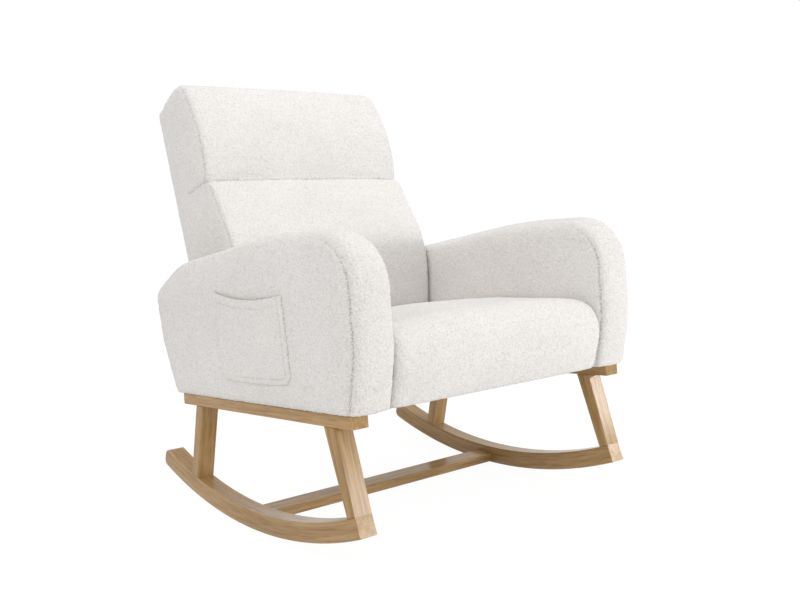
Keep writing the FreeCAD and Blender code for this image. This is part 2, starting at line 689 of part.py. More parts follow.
back_bores = [back_rod(x, BACK_TIMBER_REAR - 1, REAR_FAR + 1, BOLT_DIAMETER + 2 * BOLT_CLEARANCE)
              for x in BACK_BOLT_PLACES]
side_bores = arm_bores + [mirrored(b) for b in arm_bores]

seat_front_timber = block(along_rail, -SEAT_HALF, SEAT_HALF, (-SEAT_FRONT_TIMBER, SEAT_TIMBER_FOOT),
                          (-SEAT_FRONT_TIMBER + SEAT_TIMBER, SEAT_TOP))
seat_rear_timber = frame_block(-SEAT_HALF, SEAT_HALF, 0, SEAT_TIMBER_FOOT, SEAT_TOP, REAR_NEAR)
seat_rear_timber = seat_rear_timber.cut(frame_block(-SEAT_HALF - 1, SEAT_HALF + 1, -1, SEAT_TIMBER_FOOT - 1,
                                                    SEAT_TOP + 1, REAR_FAR)).cut(back_bores)
seat_side_timber = frame_block(SEAT_HALF - SEAT_TIMBER, SEAT_HALF, -SEAT_FRONT_TIMBER + SEAT_TIMBER,
                               SEAT_TIMBER_FOOT, SEAT_TOP + WEB, REAR_FAR).cut(arm_bores)


def corner_block(front):
    """Triangular brace in a corner of the seat frame on the sitter's left."""
    x = SEAT_HALF - SEAT_TIMBER
    if front:
        s, step = -SEAT_FRONT_TIMBER + SEAT_TIMBER, SEAT_CORNER
    else:
        s, step = shell_face(REAR_FAR, SEAT_CORNER_FOOT), -SEAT_CORNER
    points = [along_rail(x, s, SEAT_CORNER_FOOT), along_rail(x - SEAT_CORNER, s, SEAT_CORNER_FOOT),
              along_rail(x, s + step, SEAT_CORNER_FOOT)]
    face = Part.Face(Part.makePolygon(points + points[:1]))
    return face.extrude(SEAT_NORMAL * SEAT_CORNER_HEIGHT)


seat_corner_blocks = [corner_block(True), corner_block(False)]

seat_webs = []
for i in range(SEAT_WEB_ALONG):
    x = (i - (SEAT_WEB_ALONG - 1) / 2) * SEAT_WEB_PITCH
    seat_webs.append(frame_block(x - WEB_WIDTH / 2, x + WEB_WIDTH / 2, -SEAT_FRONT_TIMBER, SEAT_TOP,
                                 SEAT_TOP + WEB, REAR_NEAR))
seat_cross_webs = []
for i in range(SEAT_WEB_ACROSS):
    s = -SEAT_WEB_FIRST + i * SEAT_WEB_STEP
    seat_cross_webs.append(block(along_rail, -SEAT_HALF, SEAT_HALF, (s - WEB_WIDTH / 2, SEAT_TOP + WEB),
                                 (s + WEB_WIDTH / 2, SEAT_TOP + 2 * WEB)))

frame_room = frame_block(-ARM_INNER, ARM_INNER, -SEAT_FRONT_TIMBER - SOFT_GAP, -10,
                         SEAT_TOP + 2 * WEB + SOFT_GAP, BACK_SHELL)
seat_cushion = seat_form().cut(frame_room)
dust_cover = frame_block(-INNER_FACE + DUST_INSET, INNER_FACE - DUST_INSET, -SEAT_FRONT_TIMBER - DUST_LAP,
                         -DUST_CLOTH - SOFT_GAP, -SOFT_GAP, DUST_SETBACK)


# Back: a framed shell, then a head pad and a lumbar pad that meet in a sewn valley
def shell_form(layer, ahead, sunk):
    half = BACK_WIDTH / 2 - BACK_SHELL_NARROW - layer
    foot_rear = back_coordinates(along_rail(0, shell_face(0.0, -sunk), -sunk))
    foot_front = back_coordinates(along_rail(0, shell_face(BACK_SHELL + ahead, -sunk), -sunk))
    corners = [
        (foot_rear[0], foot_rear[1], 0),
        (foot_front[0], foot_front[1], 0),
        (BACK_TOP, BACK_SHELL + ahead, 0),
        (BACK_TOP, 0, SHELL_TOP_ROUND)]
    solid = prism(up_back, -half, half, inset_corners(corners, [0.0, 0.0, layer, layer]))
    rims = []
    for edge in solid.Edges:
        depth = back_coordinates(edge.CenterOfMass)[1]
        height = back_coordinates(edge.CenterOfMass)[0]
        behind = depth < BACK_SHELL + ahead - 1 and height > foot_rear[0] + SHELL_RIM
        if behind and edge.BoundBox.XLength < 1:
            rims.append(edge)
    return solid.makeFillet(SHELL_RIM - layer, rims)


def pad_form(corners, shares):
    """A pad whose edges take their share of the rim; those with a full share also crown."""
    def section(inset, crown):
        insets = [share * inset - crown * PAD_CROWN * (share == 1.0) for share in shares]
        return inset_corners(corners, insets)
    rim = (PAD_RIM, PAD_REACH)
    return padded(up_back, -BACK_WIDTH / 2, BACK_WIDTH / 2, rim, rim, section)


PAD_REAR = BACK_SHELL + SOFT_GAP
HEAD_FOOT = PAD_SPLIT + PAD_SPLIT_GAP / 2
LUMBAR_HEAD = PAD_SPLIT - PAD_SPLIT_GAP / 2


def seat_line(place):
    """Height of the crowned seat along the rail, in front of the shell."""
    rear = shell_face(BACK_SHELL, SEAT_REAR_HEIGHT)
    slope = (SEAT_PEAK + SEAT_CROWN - SEAT_REAR_HEIGHT) / (rear + SEAT_PEAK_PLACE)
    return SEAT_REAR_HEIGHT + SOFT_GAP + slope * (rear - place)


toe = back_coordinates(along_rail(0, LUMBAR_TOE, seat_line(LUMBAR_TOE)))
heel_place = shell_face(PAD_REAR, SEAT_REAR_HEIGHT)
heel = back_coordinates(along_rail(0, heel_place, seat_line(heel_place)))
head_corners = [
    (HEAD_FOOT, PAD_REAR, 0),
    (HEAD_FOOT, HEAD_PAD_SEAM_DEPTH, PAD_SEAM_ROUND),
    (HEAD_PAD_SWELL, HEAD_PAD_DEPTH, HEAD_PAD_SWELL_ROUND),
    (HEAD_PAD_TOP, HEAD_PAD_TOP_DEPTH, HEAD_PAD_TOP_ROUND),
    (HEAD_PAD_HEEL, PAD_REAR, 0)]
head_shares = [0.3, 1.0, 1.0, 0.6, 0.0]
lumbar_corners = [
    (heel[0], PAD_REAR, 0),
    (toe[0], toe[1], LUMBAR_TOE_ROUND),
    (-LUMBAR_SWELL, LUMBAR_DEPTH, LUMBAR_SWELL_ROUND),
    (LUMBAR_HEAD, LUMBAR_SEAM_DEPTH, PAD_SEAM_ROUND),
    (LUMBAR_HEAD, PAD_REAR, 0)]
lumbar_shares = [0.0, 1.0, 1.0, 0.3, 0.0]


POST_OUT = BACK_WIDTH / 2 - BACK_SHELL_NARROW - COVER - SOFT_GAP
POST_IN = POST_OUT - BACK_POST
TIMBER_FRONT = BACK_TIMBER_REAR + BACK_TIMBER
POST_FRONT = BACK_TIMBER_REAR + BACK_POST_DEPTH
back_room = block(up_back, -POST_OUT - SOFT_GAP, POST_OUT + SOFT_GAP, (-BACK_POST_STEP - SOFT_GAP, 0),
                  (BACK_HEAD + SOFT_GAP, POST_FRONT + WEB + SOFT_GAP))
head_pad = pad_form(head_corners, head_shares).cut(back_room)
lumbar_pad = pad_form(lumbar_corners, lumbar_shares).cut(back_room)
shell_cover = shell_form(0.0, 0.0, 0.0).cut(shell_form(COVER, 6.0, 6.0))


def back_block(x_low, x_high, low, high):
    return block(up_back, x_low, x_high, (low, BACK_TIMBER_REAR), (high, TIMBER_FRONT))


back_post = prism(up_back, POST_IN, POST_OUT, [
    (-BACK_FOOT, BACK_TIMBER_REAR, 0), (-BACK_FOOT, TIMBER_FRONT, 0), (-BACK_POST_STEP, TIMBER_FRONT, 0),
    (-BACK_POST_STEP, POST_FRONT, 0), (BACK_HEAD, POST_FRONT, 0), (BACK_HEAD, BACK_TIMBER_REAR, 0)])
post_edge = [e for e in back_post.Edges if e.BoundBox.XMin > POST_OUT - 1 and e.Length > BACK_HEAD
             and back_coordinates(e.CenterOfMass)[1] < BACK_TIMBER_REAR + 1]
back_post = back_post.makeFillet(SHELL_RIM - COVER - SOFT_GAP, post_edge)
back_top_rail = back_block(-POST_IN, POST_IN, BACK_HEAD - BACK_RAIL, BACK_HEAD)
back_middle_rail = back_block(-POST_IN, POST_IN, BACK_MIDDLE_RAIL - BACK_RAIL / 2,
                              BACK_MIDDLE_RAIL + BACK_RAIL / 2)
back_lumbar_rail = back_block(-POST_IN, POST_IN, BACK_LUMBAR_RAIL - BACK_RAIL / 2,
                              BACK_LUMBAR_RAIL + BACK_RAIL / 2)
back_foot_rail = back_block(-POST_IN, POST_IN, -BACK_FOOT, -BACK_FOOT + BACK_RAIL)
nut_seat = BACK_TIMBER_REAR + NUT_HEIGHT + ARM_BOLT_REACH
back_nut_rooms = [back_rod(x, BACK_TIMBER_REAR - 1, nut_seat, NUT_FLATS + 4) for x in BACK_BOLT_PLACES]
back_foot_rail = back_foot_rail.cut(back_bores + back_nut_rooms)
back_webs = [block(up_back, -POST_OUT, POST_OUT, (t - WEB_WIDTH / 2, POST_FRONT),
                   (t + WEB_WIDTH / 2, POST_FRONT + WEB)) for t in BACK_WEBS]

back_bolts, back_nuts = [], []
for x in BACK_BOLT_PLACES:
    shank = back_rod(x, nut_seat - NUT_HEIGHT - ARM_BOLT_REACH / 2, REAR_FAR, BOLT_DIAMETER)
    back_bolts.append(back_rod(x, REAR_FAR, REAR_FAR + BOLT_HEAD_HEIGHT, BOLT_HEAD).fuse(shank))
    nut = bar(back_place(x, nut_seat - NUT_HEIGHT), back_place(x, nut_seat), NUT_FLATS, NUT_SIDES)
    back_nuts.append(nut.cut(shank))

sided = {
    "runner": runner, "rail": rail, "front_leg": front_leg, "rear_leg": rear_leg,
    "arm_padding": arm_padding, "arm_inner_panel": arm_inner_panel,
    "arm_outer_panel": arm_outer_panel, "arm_battens": group(arm_battens), "arm_cleat": arm_cleat,
    "arm_pocket": pocket, "seat_side_timber": seat_side_timber, "back_post": back_post}
nodes = {
    "stretcher": stretcher, "leg_tenons": both_sides(tenons), "stretcher_tenons": both_sides([cross_tenon]),
    "rail_bolts": both_sides(rail_bolts), "rail_nuts": both_sides(rail_nuts),
    "arm_bolts": both_sides(arm_bolts), "arm_nuts": both_sides(arm_nuts),
    "back_bolts": group(back_bolts), "back_nuts": group(back_nuts),
    "seat_front_timber": seat_front_timber, "seat_rear_timber": seat_rear_timber,
    "seat_corner_blocks": both_sides(seat_corner_blocks), "seat_webbing": group(seat_webs),
    "seat_cross_webbing": group(seat_cross_webs), "seat_cushion": seat_cushion,
    "dust_cover": dust_cover, "back_top_rail": back_top_rail, "back_middle_rail": back_middle_rail,
    "back_lumbar_rail": back_lumbar_rail, "back_foot_rail": back_foot_rail, "back_webbing": group(back_webs),
    "back_shell_cover": shell_cover, "head_pad": head_pad, "lumbar_pad": lumbar_pad}
for name, shape in sided.items():
    nodes["left_" + name] = shape
    nodes["right_" + name] = mirrored(shape)

# The origin is under the middle of the chair's box
extent = FreeCAD.BoundBox()
for shape in nodes.values():
    extent.add(shape.optimalBoundingBox(False, False))
shift = FreeCAD.Vector(0, -extent.Center.y, -extent.ZMin)

os.makedirs("parts", exist_ok=True)
for name, shape in nodes.items():
    placed = shape.translated(shift)
    placed.exportStep("parts/" + name + ".step")
print("box", extent, "shift", shift)
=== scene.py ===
import json
import math

import bmesh
import bpy
import numpy as np
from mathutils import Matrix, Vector
from mathutils.bvhtree import BVHTree
from mathutils.kdtree import KDTree


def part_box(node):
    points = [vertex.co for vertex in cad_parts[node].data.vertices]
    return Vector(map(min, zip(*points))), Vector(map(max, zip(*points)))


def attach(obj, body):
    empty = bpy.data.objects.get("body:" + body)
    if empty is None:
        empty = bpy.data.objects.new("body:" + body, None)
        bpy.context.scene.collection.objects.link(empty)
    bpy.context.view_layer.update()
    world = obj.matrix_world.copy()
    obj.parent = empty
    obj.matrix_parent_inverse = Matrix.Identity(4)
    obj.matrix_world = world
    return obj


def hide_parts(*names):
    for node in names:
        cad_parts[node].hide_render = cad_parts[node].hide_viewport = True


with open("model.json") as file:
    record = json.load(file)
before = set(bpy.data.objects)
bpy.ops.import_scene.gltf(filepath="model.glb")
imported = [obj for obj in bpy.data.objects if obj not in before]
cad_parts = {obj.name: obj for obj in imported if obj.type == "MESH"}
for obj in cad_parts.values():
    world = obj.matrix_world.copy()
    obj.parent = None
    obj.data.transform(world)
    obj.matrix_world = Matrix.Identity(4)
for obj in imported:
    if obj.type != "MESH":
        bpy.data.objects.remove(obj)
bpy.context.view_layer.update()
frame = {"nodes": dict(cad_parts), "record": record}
nodes = frame["nodes"]
scene = bpy.context.scene
RNG = np.random.default_rng(11)

# The frame's origin is this far behind the place where the runners touch the floor
CONTACT = -0.02434
TILT = math.radians(6.46)
RECLINE = math.radians(20.7)
RAIL_TOP = 0.2664  # the rails' upper face, above the place where the runners touch the floor
BACK_FOOT = (0.365, 0.522)  # y behind that place and z of a line on the back's rear plane


def on_rail(x, s, n):
    """Point at a place s along the rails (front is negative) and n above them."""
    return Vector((x, CONTACT + s * math.cos(TILT) + n * math.sin(TILT),
                   RAIL_TOP - s * math.sin(TILT) + n * math.cos(TILT)))


def up_back(x, t, n):
    """Point at a height t up the back and a depth n in front of its rear plane."""
    return Vector((x, CONTACT + BACK_FOOT[0] + t * math.sin(RECLINE) - n * math.cos(RECLINE),
                   BACK_FOOT[1] + t * math.cos(RECLINE) + n * math.sin(RECLINE)))


def rail_place(co):
    """Places along the rails and heights above them, for an array of points."""
    y = co[:, 1] - CONTACT
    rise = co[:, 2] - RAIL_TOP
    return (y * math.cos(TILT) - rise * math.sin(TILT),
            y * math.sin(TILT) + rise * math.cos(TILT))


def back_place(co):
    """Heights up the back and depths in front of its rear plane, for an array of points."""
    y = co[:, 1] - CONTACT - BACK_FOOT[0]
    z = co[:, 2] - BACK_FOOT[1]
    return (y * math.sin(RECLINE) + z * math.cos(RECLINE),
            -y * math.cos(RECLINE) + z * math.sin(RECLINE))


# Materials
def new_material(name):
    material = bpy.data.materials.new(name)
    material.use_nodes = True
    tree = material.node_tree
    return material, tree, tree.nodes["Principled BSDF"]


def add(tree, kind, **values):
    node = tree.nodes.new(kind)
    for key, value in values.items():
        if key in node.inputs:
            node.inputs[key].default_value = value
        else:
            setattr(node, key, value)
    return node


def math_node(tree, operation, a, b=None):
    node = add(tree, "ShaderNodeMath", operation=operation)
    for socket, value in zip(node.inputs, (a, b)):
        if value is None:
            continue
        if isinstance(value, (int, float)):
            socket.default_value = value
        else:
            tree.links.new(value, socket)
    return node.outputs[0]


def ramp(tree, source, stops):
    node = add(tree, "ShaderNodeValToRGB")
    elements = node.color_ramp.elements
    while len(elements) < len(stops):
        elements.new(0.5)
    for element, (place, colour) in zip(elements, stops):
        element.position = place
        element.color = (*colour, 1.0)
    tree.links.new(source, node.inputs[0])
    return node.outputs[0]


def mix_colour(tree, mode, factor, a, b):
    node = add(tree, "ShaderNodeMix", data_type="RGBA", blend_type=mode)
    for socket, value in ((node.inputs[0], factor), (node.inputs[6], a), (node.inputs[7], b)):
        if isinstance(value, (int, float)):
            socket.default_value = value
        elif isinstance(value, tuple):
            socket.default_value = (*value, 1.0)
        else:
            tree.links.new(value, socket)
    return node.outputs[2]


def boucle_material(name, loop, pit):
    """Loop-pile cloth: curled loops a few millimetres across, with shade between them."""
    material, tree, shader = new_material(name)
    place = add(tree, "ShaderNodeTexCoord").outputs["Object"]
    warp = add(tree, "ShaderNodeTexNoise", Scale=150.0, Detail=2.0)
    tree.links.new(place, warp.inputs["Vector"])
    shift = add(tree, "ShaderNodeVectorMath", operation="MULTIPLY_ADD")
    tree.links.new(warp.outputs["Color"], shift.inputs[0])
    shift.inputs[1].default_value = (0.006, 0.006, 0.006)
    tree.links.new(place, shift.inputs[2])
    loops = add(tree, "ShaderNodeTexVoronoi", feature="F1", Scale=270.0)
    curls = add(tree, "ShaderNodeTexVoronoi", feature="F1", Scale=580.0)
    for texture in (loops, curls):
        tree.links.new(shift.outputs[0], texture.inputs["Vector"])
    tuft = math_node(tree, "MULTIPLY", loops.outputs["Distance"], 0.72)
    fine = math_node(tree, "MULTIPLY", curls.outputs["Distance"], 0.38)
    depth = math_node(tree, "ADD", tuft, fine)
    height = math_node(tree, "SUBTRACT", 1.0, depth)
    between = tuple(0.5 * (a + b) for a, b in zip(loop, pit))
    shade = ramp(tree, depth, [(0.30, loop), (0.62, between), (0.86, pit)])
    drift = add(tree, "ShaderNodeTexNoise", Scale=9.0, Detail=3.0)
    tree.links.new(place, drift.inputs["Vector"])
    broad = ramp(tree, drift.outputs["Fac"], [(0.3, (0.955, 0.955, 0.955)), (0.7, (1.0, 1.0, 1.0))])
    colour = mix_colour(tree, "MULTIPLY", 1.0, shade, broad)
    # Painted shade: along the seams and creases the colour is darkened in dots towards a deep shade
    # of the pit colour, standing in for the shade in their grooves.
    seam_shade = add(tree, "ShaderNodeAttribute", attribute_name="seam_shade")
    gaps = add(tree, "ShaderNodeTexNoise", Scale=330.0, Detail=1.0)
    tree.links.new(place, gaps.inputs["Vector"])
    open_places = ramp(tree, gaps.outputs["Fac"],
                       [(0.42, (0.08, 0.08, 0.08)), (0.64, (1.0, 1.0, 1.0))])
    seam_shade_dots = math_node(tree, "MULTIPLY", seam_shade.outputs["Fac"], open_places)
    colour = mix_colour(tree, "MIX", seam_shade_dots, colour, tuple(0.36 * c for c in pit))
    tree.links.new(colour, shader.inputs["Base Color"])
    bump = add(tree, "ShaderNodeBump", Strength=0.45, Distance=0.0032)
    tree.links.new(height, bump.inputs["Height"])
    tree.links.new(bump.outputs[0], shader.inputs["Normal"])
    shader.inputs["Roughness"].default_value = 0.95
    shader.inputs["Specular IOR Level"].default_value = 0.15
    shader.inputs["Sheen Weight"].default_value = 0.25
    shader.inputs["Sheen Roughness"].default_value = 0.6
    return material


def wood_material(name, grain, pale, dark, fleck, arc=None):
    """Straight-grained timber. grain is the direction of the fibres, or arc = (y, z) is the
    middle of the circle that they follow."""
    material, tree, shader = new_material(name)
    place = add(tree, "ShaderNodeTexCoord").outputs["Object"]
    across = Vector((1, 0, 0)) if abs(grain[0]) < 0.9 else Vector((0, 1, 0))
    deep = Vector(grain).cross(across).normalized()
    parts = add(tree, "ShaderNodeSeparateXYZ")
    tree.links.new(place, parts.inputs[0])
    if arc:
        y = math_node(tree, "SUBTRACT", parts.outputs[1], arc[0])
        z = math_node(tree, "SUBTRACT", parts.outputs[2], arc[1])
        squares = [math_node(tree, "MULTIPLY", line, line) for line in (y, z)]
        radius = math_node(tree, "SQRT", math_node(tree, "ADD", *squares))
        angle = math_node(tree, "ARCTAN2", y, math_node(tree, "MULTIPLY", z, -1.0))
        turn = math_node(tree, "MULTIPLY", angle, arc[1])
        lines = (turn, parts.outputs[0], radius)
    else:
        lines = []
        for way in (Vector(grain), across, deep):
            dot = add(tree, "ShaderNodeVectorMath", operation="DOT_PRODUCT")
            tree.links.new(place, dot.inputs[0])
            dot.inputs[1].default_value = way
            lines.append(dot.outputs["Value"])
    fibres = add(tree, "ShaderNodeCombineXYZ")
    for line, squeeze, socket in zip(lines, (0.045, 1.0, 1.0), fibres.inputs):
        tree.links.new(math_node(tree, "MULTIPLY", line, squeeze), socket)
    rings = add(tree, "ShaderNodeTexNoise", Scale=85.0, Detail=3.0, Roughness=0.55, Distortion=0.3)
    pores = add(tree, "ShaderNodeTexNoise", Scale=330.0, Detail=3.0, Roughness=0.6)
    broad = add(tree, "ShaderNodeTexNoise", Scale=9.0, Detail=2.0)
    for texture in (rings, pores, broad):
        tree.links.new(fibres.outputs[0], texture.inputs["Vector"])
    middle = tuple(0.5 * (a + b) for a, b in zip(pale, dark))
    figure = ramp(tree, rings.outputs["Fac"], [(0.32, dark), (0.5, middle), (0.66, pale)])
    lines_on = ramp(tree, pores.outputs["Fac"], [(0.36, fleck), (0.52, (1.0, 1.0, 1.0))])
    tint = ramp(tree, broad.outputs["Fac"], [(0.3, (0.9, 0.9, 0.89)), (0.7, (1.0, 1.0, 1.0))])
    grained = mix_colour(tree, "MULTIPLY", 0.75, figure, lines_on)
    colour = mix_colour(tree, "MULTIPLY", 1.0, grained, tint)
    tree.links.new(colour, shader.inputs["Base Color"])
    gloss = math_node(tree, "ADD", 0.44, math_node(tree, "MULTIPLY", rings.outputs["Fac"], 0.16))
    tree.links.new(gloss, shader.inputs["Roughness"])
    bump = add(tree, "ShaderNodeBump", Strength=0.18, Distance=0.0006)
    tree.links.new(pores.outputs["Fac"], bump.inputs["Height"])
    tree.links.new(bump.outputs[0], shader.inputs["Normal"])
    shader.inputs["Specular IOR Level"].default_value = 0.05
    shader.inputs["Coat Weight"].default_value = 0.8
    shader.inputs["Coat Roughness"].default_value = 0.18
    shader.inputs["Coat IOR"].default_value = 1.4
    return material


def woven_material(name, dark, pale, scale):
    material, tree, shader = new_material(name)
    place = add(tree, "ShaderNodeTexCoord").outputs["Object"]
    weave = add(tree, "ShaderNodeTexVoronoi", feature="F1", distance="MANHATTAN", Scale=scale)
    blotch = add(tree, "ShaderNodeTexNoise", Scale=30.0, Detail=3.0)
    for texture in (weave, blotch):
        tree.links.new(place, texture.inputs["Vector"])
    threads = ramp(tree, weave.outputs["Distance"], [(0.1, pale), (0.8, dark)])
    uneven = ramp(tree, blotch.outputs["Fac"], [(0.3, (0.8, 0.8, 0.8)), (0.7, (1.0, 1.0, 1.0))])
    tree.links.new(mix_colour(tree, "MULTIPLY", 1.0, threads, uneven), shader.inputs["Base Color"])
    bump = add(tree, "ShaderNodeBump", Strength=0.4, Distance=0.001)
    tree.links.new(weave.outputs["Distance"], bump.inputs["Height"])
    tree.links.new(bump.outputs[0], shader.inputs["Normal"])
    shader.inputs["Roughness"].default_value = 0.9
    return material


def steel_material():
    material, tree, shader = new_material("zinc_steel")
    place = add(tree, "ShaderNodeTexCoord").outputs["Object"]
    streak = add(tree, "ShaderNodeTexNoise", Scale=240.0, Detail=4.0)
    tree.links.new(place, streak.inputs["Vector"])
    colour = ramp(tree, streak.outputs["Fac"], [(0.3, (0.46, 0.46, 0.47)), (0.7, (0.66, 0.66, 0.65))])
    gloss = math_node(tree, "MULTIPLY", streak.outputs["Fac"], 0.7)
    tree.links.new(colour, shader.inputs["Base Color"])
    tree.links.new(gloss, shader.inputs["Roughness"])
    shader.inputs["Metallic"].default_value = 1.0
    return material


LOOP = (0.885, 0.862, 0.838)
PIT = (0.72, 0.69, 0.66)
boucle = boucle_material("boucle", LOOP, PIT)
OAK_PALE = (0.53, 0.338, 0.148)
OAK_DARK = (0.372, 0.216, 0.080)
OAK_FLECK = (0.70, 0.62, 0.51)


def dress(node, material):
    nodes[node].data.materials.clear()
    nodes[node].data.materials.append(material)


def oak(name, grain, arc=None):
    return wood_material(name, grain, OAK_PALE, OAK_DARK, OAK_FLECK, arc)


RUNNER_RADIUS = 1.110
along = (0, math.cos(TILT), -math.sin(TILT))
oak_along = oak("oak_rail", along)
oak_front = oak("oak_front_leg", (0, math.sin(math.radians(21.3)), math.cos(math.radians(21.3))))
oak_rear = oak("oak_rear_leg", (0, -math.sin(math.radians(10.4)), math.cos(math.radians(10.4))))
oak_bent = oak("oak_runner", along, (CONTACT, RUNNER_RADIUS))
oak_cross = oak("oak_stretcher", (1, 0, 0))
pine = wood_material("frame_timber", (0, 0.2, 1), (0.66, 0.48, 0.29), (0.52, 0.35, 0.19),
                     (0.8, 0.74, 0.64))
webbing = woven_material("webbing", (0.10, 0.08, 0.06), (0.30, 0.25, 0.18), 500.0)
dust_cloth = woven_material("dust_cloth", (0.60, 0.58, 0.54), (0.72, 0.70, 0.66), 700.0)
steel = steel_material()
finishes = {"frame_timber": pine, "webbing": webbing, "dust_cloth": dust_cloth, "steel": steel,
            "oak": oak_along, "boucle": boucle}
for part in frame["record"]["subparts"]:
    dress(part["node"], finishes[part["material_slot"]])
for side in ("left_", "right_"):
    dress(side + "runner", oak_bent)
    dress(side + "front_leg", oak_front)
    dress(side + "rear_leg", oak_rear)
dress("stretcher", oak_cross)


# Soft pieces
def new_object(name, mesh):
    piece = bpy.data.objects.new(name, mesh)
    scene.collection.objects.link(piece)
    return piece


def points(mesh):
    co = np.empty(len(mesh.vertices) * 3)
    mesh.vertices.foreach_get("co", co)
    return co.reshape(-1, 3)


def set_points(mesh, co):
    mesh.vertices.foreach_set("co", co.reshape(-1))
    mesh.update()


def normals(mesh):
    values = np.empty(len(mesh.vertices) * 3)
    mesh.vertices.foreach_get("normal", values)
    return values.reshape(-1, 3)


def outer_form(names, widen=None, core=None):
    """The closed outer form of some soft CAD solids, without the rooms for the frame in them.
    core is the corners of a block that joins them inside."""
    whole = bmesh.new()
    for name in names:
        form = bmesh.new()
        for vertex in nodes[name].data.vertices:
            place = vertex.co.copy()
            if widen and name in widen:
                place.x *= widen[name]
            form.verts.new(place)
        hull = bmesh.ops.convex_hull(form, input=form.verts)
        inside = hull["geom_interior"] + hull["geom_unused"]
        spare = {v for v in inside if isinstance(v, bmesh.types.BMVert)}
        bmesh.ops.delete(form, geom=list(spare), context="VERTS")
        mesh = bpy.data.meshes.new(name + "_hull")
        form.to_mesh(mesh)
        form.free()
        whole.from_mesh(mesh)
        bpy.data.meshes.remove(mesh)
    if core:
        form = bmesh.new()
        for place in core:
            form.verts.new(place)
        bmesh.ops.convex_hull(form, input=form.verts)
        mesh = bpy.data.meshes.new("core")
        form.to_mesh(mesh)
        form.free()
        whole.from_mesh(mesh)
        bpy.data.meshes.remove(mesh)
    mesh = bpy.data.meshes.new("form")
    whole.to_mesh(mesh)
    whole.free()
    return mesh


def baked(piece):
    """Applies every modifier of a piece."""
    graph = bpy.context.evaluated_depsgraph_get()
    mesh = bpy.data.meshes.new_from_object(piece.evaluated_get(graph))
    piece.modifiers.clear()
    old, piece.data = piece.data, mesh
    bpy.data.meshes.remove(old)
    return piece


def remeshed(piece, voxel):
    modifier = piece.modifiers.new("voxels", "REMESH")
    modifier.mode = "VOXEL"
    modifier.voxel_size = voxel
    smooth = piece.modifiers.new("smooth", "SMOOTH")
    smooth.factor = 0.5
    smooth.iterations = 3
    return baked(piece)


def tree_of(places):
    tree = KDTree(len(places))
    for i, place in enumerate(places):
        tree.insert(place, i)
    tree.balance()
    return tree


def distances(co, places, reach):
    """Distance of each point to the nearest of some places, up to reach."""
    result = np.full(len(co), reach)
    if not len(places):
        return result
    tree = tree_of(places)
    low = np.min(places, axis=0) - reach
    high = np.max(places, axis=0) + reach
    near = np.nonzero(np.all((co > low) & (co < high), axis=1))[0]
    for i in near:
        result[i] = min(reach, tree.find(co[i])[2])
    return result


def slice_places(mesh, x, keep):
    """Points where the plane at x cuts a mesh, kept where keep(points) is true."""
    cut = bmesh.new()
    cut.from_mesh(mesh)
    result = bmesh.ops.bisect_plane(cut, geom=cut.verts[:] + cut.edges[:] + cut.faces[:], dist=1e-7,
                                    plane_co=(x, 0, 0), plane_no=(1, 0, 0))
    places = np.array([v.co[:] for v in result["geom_cut"] if isinstance(v, bmesh.types.BMVert)])
    cut.free()
    return places[keep(places)] if len(places) else places


def swell(piece, pinned, room, limit, pressure):
    """Blows a closed skin up as cloth, held at its seams, and keeps it within its room."""
    mesh = piece.data
    rest = points(mesh)
    held = piece.vertex_groups.new(name="held")
    held.add([int(i) for i in np.nonzero(pinned)[0]], 1.0, "REPLACE")
    cloth = piece.modifiers.new("cloth", "CLOTH")
    settings = cloth.settings
    settings.quality = 4
    settings.mass = 0.3
    settings.tension_stiffness = settings.compression_stiffness = 12.0
    settings.shear_stiffness = 8.0
    settings.bending_stiffness = 0.4
    settings.use_pressure = True
    settings.uniform_pressure_force = pressure
    settings.vertex_group_mass = "held"
    settings.effector_weights.gravity = 0.0
    cloth.point_cache.frame_start = 1
    cloth.point_cache.frame_end = 20
    for number in range(1, 21):
        scene.frame_set(number)
    graph = bpy.context.evaluated_depsgraph_get()
    blown = points(piece.evaluated_get(graph).data)
    piece.modifiers.clear()
    piece.vertex_groups.clear()
    scene.frame_set(1)
    move = blown - rest
    outward = normals(mesh)
    move -= outward * np.minimum(0.0, np.sum(move * outward, axis=1))[:, None]
    move = np.stack([even_out(move[:, k], mesh, 10) for k in range(3)], axis=1)
    size = np.linalg.norm(move, axis=1)
    most = np.minimum(limit, room)
    move *= (most * np.tanh(size / np.maximum(most, 1e-6)) / np.maximum(size, 1e-9))[:, None]
    set_points(mesh, rest + move)


def even_out(values, mesh, turns):
    """Spreads per-point values over neighbouring points."""
    edges = np.empty(len(mesh.edges) * 2, dtype=np.int64)
    mesh.edges.foreach_get("vertices", edges)
    edges = edges.reshape(-1, 2)
    for _ in range(turns):
        total = values.copy()
        count = np.ones(len(values))
        np.add.at(total, edges[:, 0], values[edges[:, 1]])
        np.add.at(total, edges[:, 1], values[edges[:, 0]])
        np.add.at(count, edges[:, 0], 1.0)
        np.add.at(count, edges[:, 1], 1.0)
        values = total / count
    return values


def bvh_of(mesh):
    return BVHTree.FromPolygons([v.co[:] for v in mesh.vertices],
                                [p.vertices[:] for p in mesh.polygons])


def room_to(mesh, neighbours, most):
    """How far each point may move before it is half-way to a neighbour."""
    co = points(mesh)
    room = np.full(len(co), most)
    for tree in neighbours:
        for i, place in enumerate(co):
            hit = tree.find_nearest(Vector(place), most * 2.2)
            if hit[3] is not None:
                room[i] = min(room[i], max(0.0, 0.42 * hit[3] - 0.0002))
    return room


def subdivided(piece):
    modifier = piece.modifiers.new("fine", "SUBSURF")
    modifier.levels = modifier.render_levels = 1
    return baked(piece)


